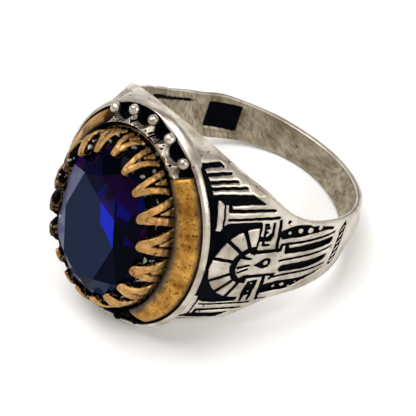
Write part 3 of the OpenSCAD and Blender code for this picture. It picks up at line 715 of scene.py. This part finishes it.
def claw_loops(angle, seed):
    """Sections of one claw from foot to point, and how black it is there."""
    spin = np.random.default_rng(seed)
    c, s = math.cos(math.radians(angle)), math.sin(math.radians(angle))
    # The far ones, worn and black, stand out further and are broad to the end. The upper
    # ones have thin straps and a tall black foot.
    far = float(smooth(0.5, 0.85, -c))
    upper = float(smooth(0.5, 0.9, s))
    width = min(max(math.hypot(2.06 * s, 2.75 * c) / 2.6, 0.8), 1.05)
    strap_w = (0.335 - 0.05 * upper) * width
    length = CLAW_LENGTH * spin.uniform(0.97, 1.02) + 0.3 * far
    tip_rows = length - 0.3 + 0.3 * np.sin(np.linspace(0.15, 1.5, 10))
    waves = spin.uniform(0, 6.28, 4)
    end = 0.3 + 0.3 * far
    plate = -0.26 + 0.14 * far
    side = np.array([0.02, 0.03, 0.0])
    loops, dark = [], []
    for y in np.concatenate([np.linspace(0, length - 0.3, 44), tip_rows]):
        t = min(y / length, 0.999)
        skin_a, skin_b = np.polyval(claw_fits[0], t), np.polyval(claw_fits[1], t)
        room = HALF_PITCH * math.hypot(skin_a * s, skin_b * c) - 0.05 - 0.07 * far
        centre = min(0.92 * width * (1 - t) ** 0.75, room - 0.37 * width)
        half = (1 - far) * (centre + 0.36 * width) + far * min(room, 1.02)
        half += 0.03 * math.sin(5.2 * y + waves[0]) + 0.018 * math.sin(13 * y + waves[1])
        if y > length - end:
            rounding = math.sqrt(max(1 - ((y - length + end) / end) ** 2, 0.003))
            half = min(half, (0.45 + 0.5 * far) * rounding)
        x = np.linspace(-1, 1, 38) * half
        bent = x + 0.015 * math.sin(9 * y + waves[2])
        strap = strap_w - np.abs(np.abs(bent) - centre) * 0.93
        tongue = line(x, np.full(x.shape, y), (0, 0.1), (0, 0.52 * length), 0.8 * width, 0.24)
        raised = np.maximum(strap, tongue)
        depth = plate + (0.01 - plate) * smooth(-0.03, 0.08, raised)
        depth += 0.06 * np.sqrt(np.clip(raised / 0.34, 0, 1))
        depth += far * (0.28 * float(smooth(0.15, 0.6, t)) - 0.35 * (x / half) ** 4)
        fall = np.array([-0.12, -0.28, -0.42]) * (1 + 1.3 * far * t)
        low = np.linspace(half, -half, 8)[1:-1]
        across = np.concatenate([x, half + side, low, -half - side[::-1]])
        deep = np.concatenate([depth, depth[-1] + fall, np.full(6, fall[-1] + depth[-1]),
                               depth[0] + fall[::-1]])
        loops.append(on_claw(angle, np.full(across.shape, y / CLAW_LENGTH), across, deep))
        hollow_dark = 1 - smooth(0.0, 0.07, raised)
        foot_dark = 1 - smooth(0.1 + 0.45 * upper, 0.35 + 0.42 * upper, y)
        worn_dark = 0.6 * far * float(smooth(0.6, 0.85, t))
        top_dark = np.maximum(hollow_dark, max(foot_dark, worn_dark))
        dark.append(np.concatenate([top_dark, [0.55, 0.95, 1], np.ones(6), [1, 0.95, 0.55]]))
    loops = np.array(loops)
    rough_cast = (0.03 + 0.04 * far) * lumps(loops, 0.4 + 0.3 * far, seed)
    return loops + rough_cast[..., None], np.array(dark)


# The same brass, blackened and rubbed back by hand: pale matt gold straps with brown clouds
# and pits, round soot-black hollows in which a few bare grey grains glint.
patina, tree = new_material("brass_claws_blackened_and_rubbed")
place = add(tree, "ShaderNodeTexCoord").outputs["Object"]
clouds = add(tree, "ShaderNodeTexNoise", values={"Scale": grain(0.6667), "Detail": 5, "Roughness": 0.6},
             links={"Vector": place})
mottle = add(tree, "ShaderNodeMapRange", values={1: 0.3, 2: 0.78}, links={0: clouds.outputs["Fac"]})
gold = add(tree, "ShaderNodeMix", {"data_type": "RGBA"},
           {6: linear("#D0A468"), 7: linear("#7E5526")}, {0: mottle.outputs[0]})
specks = add(tree, "ShaderNodeTexNoise", values={"Scale": grain(0.2174), "Detail": 2},
             links={"Vector": place})
speck_mask = add(tree, "ShaderNodeMapRange", values={1: 0.64, 2: 0.72}, links={0: specks.outputs["Fac"]})
speckled = add(tree, "ShaderNodeMix", {"data_type": "RGBA"}, {7: linear("#3A2814")},
               {0: speck_mask.outputs[0], 6: gold.outputs[2]})
glints = add(tree, "ShaderNodeTexNoise", values={"Scale": grain(0.4348), "Detail": 1},
             links={"Vector": place})
glint_mask = add(tree, "ShaderNodeMapRange", values={1: 0.63, 2: 0.7}, links={0: glints.outputs["Fac"]})
hollow = add(tree, "ShaderNodeMix", {"data_type": "RGBA"}, {6: linear("#030303"), 7: linear("#8F9088")},
             {0: glint_mask.outputs[0]})
grime_and_shade = add(tree, "ShaderNodeAttribute", {"attribute_name": "oxide_and_shade"}).outputs["Fac"]
ragged = add(tree, "ShaderNodeMath", {"operation": "MULTIPLY_ADD"}, {1: 0.5, 2: -0.25},
             {0: specks.outputs["Fac"]})
edged = add(tree, "ShaderNodeMath", {"operation": "ADD"}, links={0: grime_and_shade, 1: ragged.outputs[0]})
soot_and_shade = add(tree, "ShaderNodeMapRange", values={1: 0.35, 2: 0.65}, links={0: edged.outputs[0]})
colour = add(tree, "ShaderNodeMix", {"data_type": "RGBA"},
             links={0: soot_and_shade.outputs[0], 6: speckled.outputs[2], 7: hollow.outputs[2]})
dull = add(tree, "ShaderNodeMath", {"operation": "SUBTRACT"}, {0: 1.0}, {1: glint_mask.outputs[0]})
blacked = add(tree, "ShaderNodeMath", {"operation": "MULTIPLY"},
              links={0: soot_and_shade.outputs[0], 1: dull.outputs[0]})
metal = add(tree, "ShaderNodeMapRange", values={3: 1.0, 4: 0.0}, links={0: blacked.outputs[0]})
rough = add(tree, "ShaderNodeMapRange", values={1: 0.3, 2: 0.7, 3: 0.4, 4: 0.6},
            links={0: clouds.outputs["Fac"]})
bump = add(tree, "ShaderNodeBump", values={"Strength": 0.6, "Distance": 0.05 / 1000},
           links={"Height": specks.outputs["Fac"]})
gleam = add(tree, "ShaderNodeMapRange", values={3: 0.5, 4: 0.01}, links={0: blacked.outputs[0]})
shader = add(tree, "ShaderNodeBsdfPrincipled", links={
    "Base Color": colour.outputs[2], "Metallic": metal.outputs[0], "Roughness": rough.outputs[0],
    "Specular IOR Level": gleam.outputs[0], "Normal": bump.outputs[0]})
add(tree, "ShaderNodeOutputMaterial", links={"Surface": shader.outputs[0]})

claws = []
for i in range(CLAW_COUNT):
    loops, dark = claw_loops(CLAW_START + 360 * i / CLAW_COUNT, 60 + i)
    claws.append(solid_from_loops("crown_claw_%02d" % i, loops, {"oxide_and_shade": dark}))
with bpy.context.temp_override(active_object=claws[0], selected_editable_objects=claws, object=claws[0]):
    bpy.ops.object.join()
claws[0].name = "crown_claws"
for piece in (collet_piece, claws[0]):
    piece.data.materials.clear()
    piece.data.materials.append(patina)
    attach(piece, "root")
    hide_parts("crown")

# The stone: dark blue glass paste, cut as an oval brilliant and polished. Its facets are painted with the
# reflections they would show: almost black facets with thin light edges, one royal blue flash, and pale
# glare on the facets of its far side.
TABLE_H = 16.1
STAR_H = 15.5
GIRDLE_H = 14.72
GIRDLE_LOW = 14.58
KEEL_H = 12.2
# Share of the way down to the keel at which the facets below the girdle break
LOW_BREAK = 0.58
STONE_A = 4.9
STONE_B = 6.6
# Corners of the table: mm towards the near shoulder and mm along the finger
table = [(2.9, 0), (1.85, 3.8), (0, 4.7), (-1.85, 3.8), (-2.9, 0), (-1.85, -3.8), (0, -4.7), (1.85, -3.8)]


def facet_plane(inner, outer):
    """Plane of a facet that runs from one point to another and is level across."""
    inner, outer = np.array(inner), np.array(outer)
    slope = outer - inner
    beside = -inner[2] / STONE_B ** 2 - outer[2] / STONE_B ** 2
    along = inner[1] / STONE_A ** 2 + outer[1] / STONE_A ** 2
    across = np.array([0, beside, along])
    normal = np.cross(slope, across)
    normal = normal / np.linalg.norm(normal) * (1 if normal[0] > 0 else -1)
    return normal, normal @ inner


def meet(first, second, height):
    """Where two facet planes cross at a height."""
    (n1, d1), (n2, d2) = first, second
    across = np.array([[n1[1], n1[2]], [n2[1], n2[2]]])
    return np.concatenate([[height], np.linalg.solve(across, [d1 - n1[0] * height, d2 - n2[0] * height])])


stone_mesh = bmesh.new()
reflection_layer = stone_mesh.faces.layers.float_color.new("facet_reflection")


def stone_face(colour, *corners):
    """One facet of the stone with its own painted reflection colour."""
    made = stone_mesh.faces.new([stone_mesh.verts.new(lying(np.array(c))) for c in corners])
    made[reflection_layer] = colour


tips = [np.array([TABLE_H, x, y]) for x, y in table]
lean = [math.atan2(y / STONE_B, x / STONE_A) for x, y in table]
belt = [np.array([GIRDLE_H, STONE_A * math.cos(t), STONE_B * math.sin(t)]) for t in lean]
between = [(lean[i] + (lean[(i + 1) % 8] - lean[i]) % (2 * math.pi) / 2) for i in range(8)]
middles = [np.array([GIRDLE_H, STONE_A * math.cos(t), STONE_B * math.sin(t)]) for t in between]
mains = [facet_plane(tips[i], belt[i]) for i in range(8)]
stars = [meet(mains[i], mains[(i + 1) % 8], STAR_H) for i in range(8)]
drop = np.array([GIRDLE_LOW - GIRDLE_H, 0, 0])
keel = np.array([KEEL_H, 0, 0])
INK = linear("#010108")
NAVY = linear("#060830")
SLATE = linear("#18223C")
ROYAL = linear("#1626B0")
DEEP_ROYAL = linear("#0E1064")
PLUM = linear("#14051F")
PALE = linear("#575A76")
STEEL = linear("#19243F")
# Painted reflections of back facets seen through the table: one royal blue flash, and a darker one beside
# it
flash = [np.array([TABLE_H, x, y]) for x, y in ((0.5, 2.72), (1.04, 1.0), (1.88, 0.66), (2.29, 2.2))]
tip = dict(zip(("right", "right_up", "up", "left_up", "left", "left_low", "low", "right_low"), tips))
stone_face(SLATE, tip["left_up"], tip["left"], tip["left_low"], tip["low"], tip["right_low"],
           flash[2], flash[1], flash[0])
stone_face(NAVY, tip["left_up"], flash[0], tip["right_up"], tip["up"])
stone_face(ROYAL, flash[0], flash[1], flash[2], tip["right"], flash[3])
stone_face(DEEP_ROYAL, flash[0], flash[3], tip["right_up"])
stone_face(STEEL, flash[2], tip["right_low"], tip["right"])
# The painted reflection that each facet throws back, in the order of the table's corners
star_reflections = [INK, PLUM, NAVY, PALE, PALE, STEEL, NAVY, NAVY]
main_reflections = [PLUM, INK, INK, PALE, PALE, PALE, STEEL, INK]
outer_reflections = [INK, NAVY, NAVY, STEEL, PALE, STEEL, STEEL, NAVY]
for i in range(8):
    j = (i + 1) % 8
    table_edge = [tips[i], flash[3], tips[j]] if i == 0 else [tips[i], tips[j]]
    stone_face(star_reflections[i], *table_edge, stars[i])
    stone_face(main_reflections[i], tips[j], stars[i], belt[j], stars[j])
    stone_face(outer_reflections[i], stars[i], belt[i], middles[i])
    stone_face(DEEP_ROYAL if i == 0 else outer_reflections[i], stars[i], middles[i], belt[j])
    stone_face(INK, belt[i], belt[i] + drop, middles[i] + drop, middles[i])
    stone_face(INK, middles[i], middles[i] + drop, belt[j] + drop, belt[j])
    low_i = (1 - LOW_BREAK) * (belt[i] + drop) + LOW_BREAK * keel
    low_j = (1 - LOW_BREAK) * (belt[j] + drop) + LOW_BREAK * keel
    stone_face(INK, belt[i] + drop, low_i, middles[i] + drop)
    stone_face(NAVY, middles[i] + drop, low_j, belt[j] + drop)
    stone_face(INK, low_i, low_j, middles[i] + drop)
    stone_face(DEEP_ROYAL, low_i, keel, low_j)
bmesh.ops.remove_doubles(stone_mesh, verts=stone_mesh.verts, dist=0.004 / 1000)
bmesh.ops.recalc_face_normals(stone_mesh, faces=stone_mesh.faces)
crown_edges = [e for e in stone_mesh.edges if e.is_manifold and e.calc_face_angle() > 0.05]
bmesh.ops.bevel(stone_mesh, geom=crown_edges, offset=0.02 / 1000, segments=1, affect="EDGES")
mesh = bpy.data.meshes.new("stone_oval_cut")
stone_mesh.to_mesh(mesh)
stone_mesh.free()
stone = bpy.data.objects.new("stone_oval_cut", mesh)
bpy.context.collection.objects.link(stone)

# Dark blue glass: each facet's colour is a painted reflection, the tone that the facets behind it would
# throw back, broken by smaller painted royal blue and plum reflections. Its polished skin hardly mirrors
# the pale tent.
gem, tree = new_material("dark_blue_glass_paste_with_painted_reflections")
place = add(tree, "ShaderNodeTexCoord").outputs["Object"]
# Each facet's painted reflection colour
facet = add(tree, "ShaderNodeAttribute", {"attribute_name": "facet_reflection"}).outputs["Color"]
stretch = add(tree, "ShaderNodeMapping", values={"Scale": (1, 1, 0.6), "Rotation": (0.3, 0.2, 0.5)},
              links={"Vector": place})
inner = add(tree, "ShaderNodeTexVoronoi", values={"Scale": grain(1.17647), "Randomness": 0.9},
            links={"Vector": stretch.outputs[0]})
cell = add(tree, "ShaderNodeSeparateColor", links={0: inner.outputs["Color"]})
inner_reflections = add(tree, "ShaderNodeValToRGB", links={"Fac": cell.outputs[0]})
inner_reflections.color_ramp.interpolation = "CONSTANT"
inner_reflections.color_ramp.elements[0].color = linear("#02030C")
inner_reflections.color_ramp.elements[1].position = 0.9
inner_reflections.color_ramp.elements[1].color = linear("#22062E")
for stop, tone in ((0.4, "#030420"), (0.6, "#080A60"), (0.7, "#020210"), (0.8, "#060648")):
    inner_reflections.color_ramp.elements.new(stop).color = linear(tone)
blend = add(tree, "ShaderNodeMix", {"data_type": "RGBA"}, links={6: facet, 7: inner_reflections.outputs["Color"]})
bright = add(tree, "ShaderNodeSeparateColor", links={0: facet})
calm = add(tree, "ShaderNodeMapRange", values={1: 0.001, 2: 0.008, 3: 0.85, 4: 0.0},
           links={0: bright.outputs[0]})
tree.links.new(calm.outputs[0], blend.inputs[0])
shader = add(tree, "ShaderNodeBsdfPrincipled", values={
    "Roughness": 0.02, "IOR": 1.52, "Specular IOR Level": 0.02}, links={"Base Color": blend.outputs[2]})
add(tree, "ShaderNodeOutputMaterial", links={"Surface": shader.outputs[0]})
stone.data.materials.append(gem)
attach(stone, "root")
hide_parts("stone")

# The studio: a plain white floor and a bright, even tent of light, with the photograph's
# viewpoint from above the near shoulder.
FLOOR_HALF = 0.6
corners = [(FLOOR_HALF * x, FLOOR_HALF * y, 0) for x, y in ((-1, -1), (1, -1), (1, 1), (-1, 1))]
floor_mesh = bpy.data.meshes.new("floor")
floor_mesh.from_pydata(corners, [], [(0, 1, 2, 3)])
floor = bpy.data.objects.new("floor", floor_mesh)
bpy.context.collection.objects.link(floor)
# White paper without any gloss: the floor melts into the light and takes a soft grey shadow
paper, tree = new_material("white_matt_paper")
shader = add(tree, "ShaderNodeBsdfPrincipled", values={"Base Color": linear("#FAFAFA"), "Roughness": 0.9})
add(tree, "ShaderNodeOutputMaterial", links={"Surface": shader.outputs[0]})
floor.data.materials.append(paper)

world = bpy.data.worlds.new("bright_even_studio_tent")
bpy.context.scene.world = world
world.use_nodes = True
tree = world.node_tree
tree.nodes.clear()
way = add(tree, "ShaderNodeTexCoord").outputs["Generated"]
height = add(tree, "ShaderNodeSeparateXYZ", links={0: way}).outputs["Z"]
rows = add(tree, "ShaderNodeValToRGB", links={"Fac": height})
rows.color_ramp.elements[0].color = linear("#B9B7B4")
rows.color_ramp.elements[1].color = linear("#F4F2EE")
for stop, tone in ((0.1, "#E6E3DE"), (0.34, "#F2EFEA"), (0.52, "#B4B1AC"), (0.7, "#96938F"),
                   (0.86, "#C8C6C2")):
    rows.color_ramp.elements.new(stop).color = linear(tone)
folds = add(tree, "ShaderNodeTexNoise", values={"Scale": 1.6, "Detail": 1}, links={"Vector": way})
fold_mask = add(tree, "ShaderNodeMapRange", values={1: 0.35, 2: 0.65, 3: 0.72, 4: 1.1},
                links={0: folds.outputs["Fac"]})
sky = add(tree, "ShaderNodeBackground",
          links={"Color": rows.outputs["Color"], "Strength": fold_mask.outputs[0]})
add(tree, "ShaderNodeOutputWorld", links={"Surface": sky.outputs[0]})


def soft_box(name, place, target, size, power):
    """A rectangular area light that points at a place on the ring."""
    light = bpy.data.lights.new(name, "AREA")
    light.shape = "RECTANGLE"
    light.size, light.size_y = size
    light.energy = power
    box = bpy.data.objects.new(name, light)
    box.location = place
    box.rotation_euler = (Vector(target) - Vector(place)).to_track_quat("-Z", "Y").to_euler()
    bpy.context.collection.objects.link(box)


# Places and sizes in metres, power in watts
soft_box("soft_box_above", (-0.1, -0.08, 0.42), (0, 0, 0), (0.3, 0.3), 1.45)
soft_box("soft_box_side", (0.3, 0.05, 0.2), (0, 0, 0.01), (0.16, 0.2), 0.5)
soft_box("soft_box_behind", (-0.25, 0.4, 0.15), (0, 0, 0.01), (0.32, 0.2), 0.27)

camera_data = bpy.data.cameras.new("photo_view")
camera_data.sensor_fit = "HORIZONTAL"
camera_data.sensor_width = 36
camera_data.lens = 108.52
camera_data.clip_start = 0.01
camera = bpy.data.objects.new("photo_view", camera_data)
# The lens and its right, down and forward directions, in the ring's millimetres
lens_at = lying([73.536, 51.927, 55.352])
right, down, ahead = [(lying(way) - lying([0, 0, 0])) * 1000 for way in (
    [-0.70035, 0.66091, 0.26966], [0.22837, 0.56539, -0.79258], [-0.67629, -0.49349, -0.5469])]
turned = [(right[i], -down[i], -ahead[i], lens_at[i]) for i in range(3)]
camera.matrix_world = Matrix(turned + [(0, 0, 0, 1)])
bpy.context.collection.objects.link(camera)
bpy.context.scene.camera = camera
bpy.context.scene.view_settings.view_transform = "Standard"
